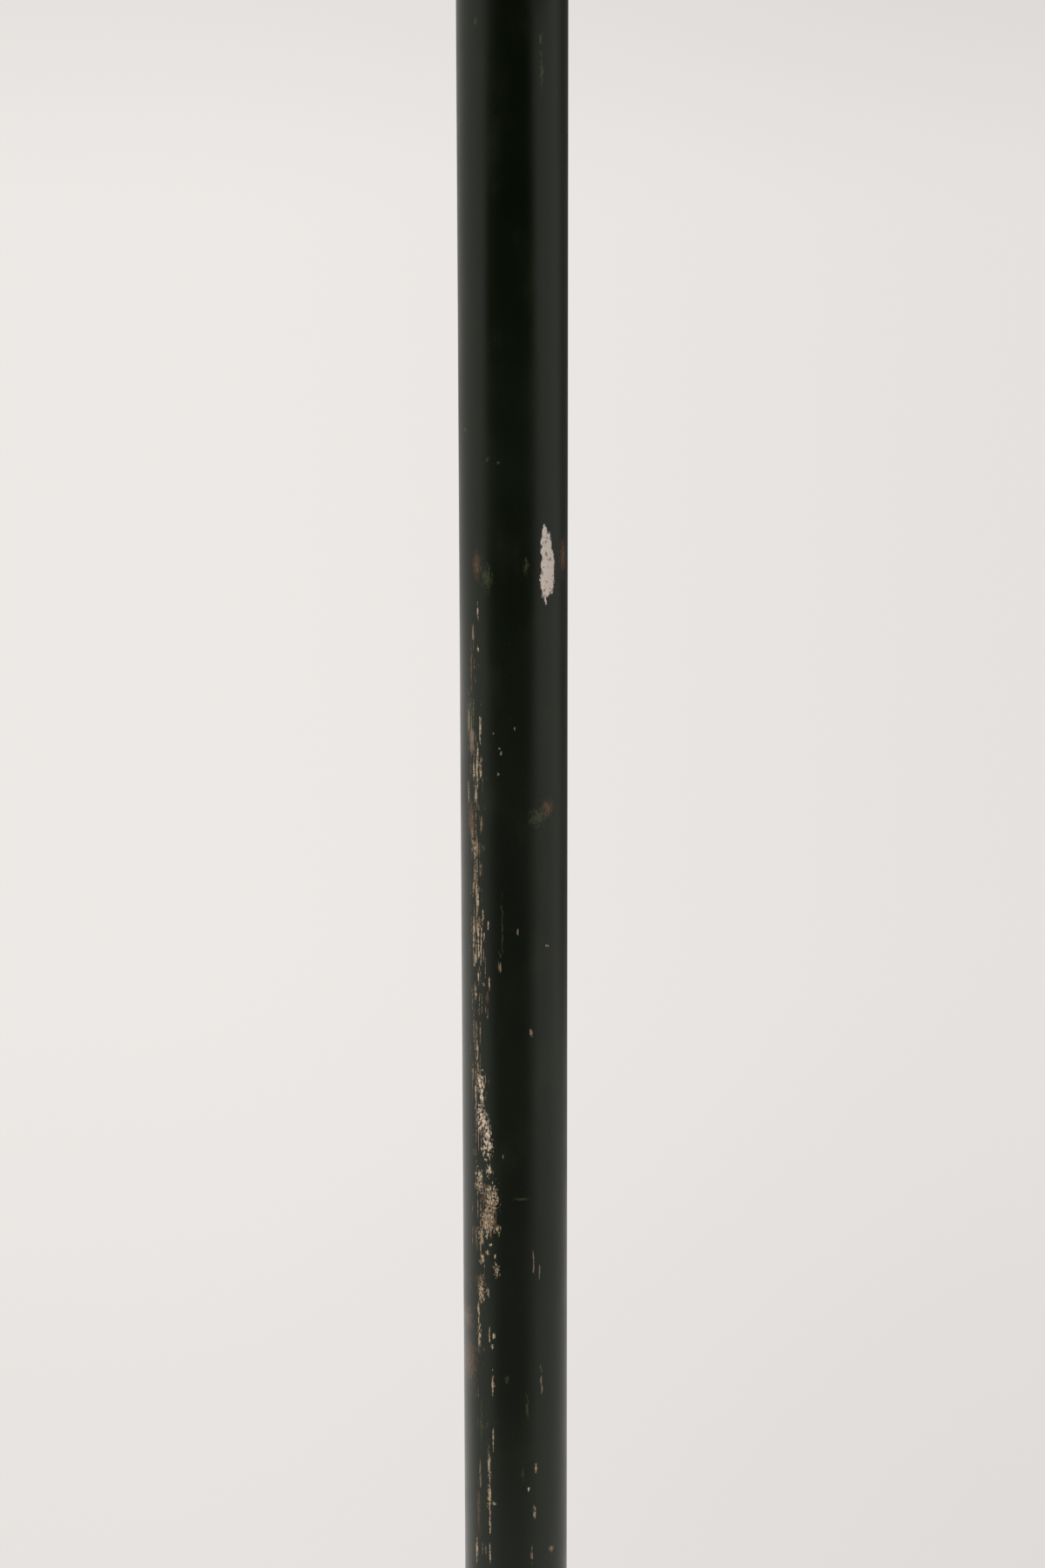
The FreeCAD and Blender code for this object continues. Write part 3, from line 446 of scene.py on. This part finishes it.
def phenolic():
    """Dark moulded resin, with the faint swirl of its filler."""
    material, graph, shader, place = new_material("phenolic")
    swirl = graph.ramp(graph.noise(place, 130.0, detail=4.0), 0.35, 0.7)
    colour = graph.mix(swirl, rgb(24, 18, 15), rgb(44, 33, 27))
    gloss = graph.ramp(graph.noise(place, 60.0), 0.3, 0.8, start=0.28, end=0.42)
    set_shader(graph, shader, Base_Color=colour, Roughness=gloss)
    return material


def pearl_glass():
    """Pearl bulb glass, which lets a soft light through."""
    material, graph, shader, place = new_material("pearl_glass")
    coating = graph.ramp(graph.noise(place, 90.0), 0.3, 0.8)
    colour = graph.mix(coating, rgb(240, 238, 230), rgb(226, 223, 212))
    gloss = graph.ramp(coating, 0.0, 1.0, start=0.16, end=0.26)
    set_shader(graph, shader, Base_Color=colour, Roughness=gloss, Transmission_Weight=0.25,
               Subsurface_Weight=0.3, Subsurface_Radius=(0.02, 0.02, 0.018))
    return material


def dress_nodes():
    """Each CAD node gets the material of its slot. The shades are white inside."""
    finishes = {
        "enamel": plain_enamel(), "rubber": rubber(), "phenolic": phenolic(), "bulb_glass": pearl_glass(),
    }
    finishes.update((slot, metal(*values)) for slot, values in METALS.items())
    for part in frame["record"]["subparts"]:
        node = frame["nodes"][part["node"]]
        node.data.materials.clear()
        node.data.materials.append(finishes[part["material_slot"]])
    white = white_enamel()
    for name, node in frame["nodes"].items():
        if name.endswith("_shade"):
            whiten_inside(name, node, white)


def whiten_inside(name, node, white):
    """Gives the white finish to the faces that look towards the shade's own axis."""
    lamp, mouth = (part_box(name.replace("_shade", piece)) for piece in ("_socket", "_bulb_glass"))
    root = (lamp[0] + lamp[1]) / 2
    along = ((mouth[0] + mouth[1]) / 2 - root).normalized()
    node.data.materials.append(white)
    for face in node.data.polygons:
        out = face.center - root
        out -= along * out.dot(along)
        face.material_index = 1 if face.normal.dot(out.normalized()) < FACES_INWARD else 0


# ---- the photographed tube, finer than the frame's own, and the spring ----
def turned_mesh(name, outline, steps):
    """A closed mesh turned about Z from (radius, height) points."""
    mesh = bpy.data.meshes.new(name)
    shape = bmesh.new()
    rings = []
    for i in range(steps):
        turn = 2 * math.pi * i / steps
        rings.append([shape.verts.new((r * math.cos(turn), r * math.sin(turn), z)) for r, z in outline])
    for ring, following in zip(rings, rings[1:] + rings[:1]):
        for j in range(len(outline)):
            k = (j + 1) % len(outline)
            shape.faces.new((ring[j], following[j], following[k], ring[k]))
    bmesh.ops.recalc_face_normals(shape, faces=shape.faces)
    for face in shape.faces:
        face.smooth = True
    shape.to_mesh(mesh)
    shape.free()
    piece = bpy.data.objects.new(name, mesh)
    bpy.context.scene.collection.objects.link(piece)
    return piece


def pole_stretch():
    """The middle tube, with its ends deburred."""
    low, high, burr = pole_low.z, pole_high.z, TUBE_BURR
    inner = POLE_R - TUBE_WALL
    edges = [photo_height(y) for y in BAND_EDGES[1:-1]]
    outline = [
        (POLE_R, high - burr), (POLE_R - burr, high), (inner + burr, high), (inner, high - burr),
        (inner, low + burr), (inner + burr, low), (POLE_R - burr, low), (POLE_R, low + burr),
    ] + [(POLE_R, edge) for edge in reversed(edges)]
    piece = turned_mesh("pole_stretch", outline, TUBE_SIDES)
    for i, band in enumerate(zip(BAND_EDGES, BAND_EDGES[1:])):
        piece.data.materials.append(worn_enamel(f"worn_enamel_{i + 1}", band))
    for face in piece.data.polygons:
        face.material_index = sum(face.center.z < edge for edge in edges)
    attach(piece, "upper")
    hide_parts("middle_tube")


def sprung_coil():
    """The spring's own shape, copied onto a piece of its own that is carried by the upper body."""
    mesh = bpy.data.objects["tension_spring"].data.copy()
    piece = bpy.data.objects.new("sprung_coil", mesh)
    bpy.context.scene.collection.objects.link(piece)
    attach(piece, "upper")
    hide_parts("tension_spring")
    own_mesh(piece)


# ---- floor, light, backdrop and camera ----
BLACK = (0.0, 0.0, 0.0, 1.0)
PLAIN_LIGHT = (0.42, 0.42, 0.42, 1.0)  # what falls on matt surfaces from all round
BACKDROP = rgb(237, 233, 230)
FLOOR_COLOUR = rgb(232, 229, 227)
FLOOR_GLOW = 0.08

# Each light's name, place, aim, width and height in metres, power in watts, and colour.
LIGHTS = (
    ("key", (-2.4, -2.2, 2.6), (0, 0, 1.2), (1.6, 2.4), 70.0, (1.0, 0.985, 0.96)),
    ("fill", (2.8, -1.6, 1.8), (0, 0, 1.2), (1.6, 2.4), 34.0, (1.0, 1.0, 1.0)),
    ("back", (0.8, 2.6, 2.8), (0, 0, 1.4), (2.0, 1.6), 30.0, (1.0, 1.0, 1.0)),
)


def floor():
    """A pale round floor whose rim fades out before the photograph's view reaches it."""
    bpy.ops.mesh.primitive_circle_add(
        vertices=FLOOR_SIDES, radius=FLOOR_RADIUS, fill_type="NGON", location=(0, 0, 0)
    )
    piece = bpy.context.object
    piece.name = "floor"
    material, graph, shader, place = new_material("floor")
    away = graph.vector("LENGTH", place)
    alpha = graph.ramp(away, FLOOR_GONE * FLOOR_RADIUS, FLOOR_SOLID * FLOOR_RADIUS)
    set_shader(graph, shader, Base_Color=FLOOR_COLOUR, Roughness=0.8, Emission_Color=BACKDROP,
               Emission_Strength=FLOOR_GLOW, Alpha=alpha)
    piece.data.materials.append(material)


def studio():
    """Soft lights that have no image of their own in a gloss."""
    for name, place, aim, size, power, colour in LIGHTS:
        light = bpy.data.lights.new(name, "AREA")
        light.shape = "RECTANGLE"
        light.size, light.size_y = size
        light.energy = power
        light.color = colour
        lamp = bpy.data.objects.new(name, light)
        lamp.location = place
        lamp.rotation_euler = (Vector(aim) - Vector(place)).to_track_quat("-Z", "Y").to_euler()
        lamp.visible_glossy = False
        bpy.context.scene.collection.objects.link(lamp)


def backdrop_seen(graph, way):
    """The backdrop as the camera sees it, with painted shade: a little darker to the right, at the top and at
    the bottom.
    """
    across = graph.ramp(way["X"], -0.12, 0.2, start=1.0, end=0.925)
    top = graph.ramp(way["Z"], -0.02, 0.075, start=1.0, end=0.92)
    bottom = graph.ramp(way["Z"], -0.24, -0.45, start=1.0, end=0.94)
    level = graph.math("MULTIPLY", across, graph.math("MULTIPLY", top, bottom))
    return graph.mix(level, BLACK, BACKDROP)


def backdrop_mirrored(graph, way):
    """The backdrop in a gloss. The unlit room behind the camera is a dark sector of it, which gets wider and
    less dark towards the floor, and the pale sides beside it have rims of their own brightness."""
    begins = graph.ramp(way["Z"], 0.03, -0.28, start=-0.72, end=-0.90)
    turned = graph.math("MULTIPLY_ADD", way["X"], 0.10, way["Y"])
    outside_sector = graph.ramp(turned, begins, -0.45)
    room = graph.ramp(way["Z"], 0.02, -0.5, start=0.0, end=0.2)
    side = graph.ramp(way["X"], -0.6, 0.6, start=0.69, end=0.66)
    left_rim = graph.ramp(way["Z"], -0.05, -0.22, start=0.9, end=1.4)
    right_rim = graph.ramp(way["Z"], -0.24, -0.36, start=0.2, end=1.0)
    left = graph.ramp(way["Y"], 0.0, 0.5, start=1.0, end=left_rim)
    right = graph.ramp(way["Y"], 0.15, 0.65, start=1.0, end=right_rim)
    rims = graph.ramp(way["X"], -0.3, 0.3, start=left, end=right)
    pale = graph.math("SUBTRACT", graph.math("MULTIPLY", side, rims), room)
    level = graph.math("ADD", room, graph.math("MULTIPLY", outside_sector, pale))
    return graph.mix(level, BLACK, BACKDROP)


def backdrop():
    """Plain light all round. What is seen directly or in a gloss is the photograph's pale backdrop, with the
    unlit room behind the camera in the reflections."""
    world = bpy.context.scene.world or bpy.data.worlds.new("studio")
    bpy.context.scene.world = world
    world.use_nodes = True
    world.node_tree.nodes.clear()
    graph = Graph(world.node_tree)
    way = graph.node("SeparateXYZ", {0: graph.node("TexCoord").outputs["Generated"]}).outputs
    rays = graph.node("LightPath").outputs
    direct = graph.math("MAXIMUM", rays["Is Camera Ray"], rays["Is Transmission Ray"])
    colour = graph.mix(rays["Is Glossy Ray"], PLAIN_LIGHT, backdrop_mirrored(graph, way))
    colour = graph.mix(direct, colour, backdrop_seen(graph, way))
    shade = graph.node("Background", {"Color": colour, "Strength": 1.0})
    graph.node("OutputWorld", {"Surface": shade.outputs[0]})


def camera():
    data = bpy.data.cameras.new("photo")
    data.lens = LENS_MM
    data.sensor_width = LONG_SIDE_MM
    piece = bpy.data.objects.new("photo", data)
    piece.location = (POLE_LEFT_OF_CENTRE * METRES_PER_PIXEL, -CAMERA_AWAY, CAMERA_HEIGHT)
    piece.rotation_mode = "ZYX"
    piece.rotation_euler = (math.pi / 2 - PITCH_DOWN, 0.0, -ROLL)
    bpy.context.scene.collection.objects.link(piece)
    bpy.context.scene.camera = piece
    bpy.context.view_layer.update()


dress_nodes()
pole_stretch()
sprung_coil()
floor()
studio()
backdrop()
camera()
bpy.context.scene.view_settings.view_transform = "Standard"
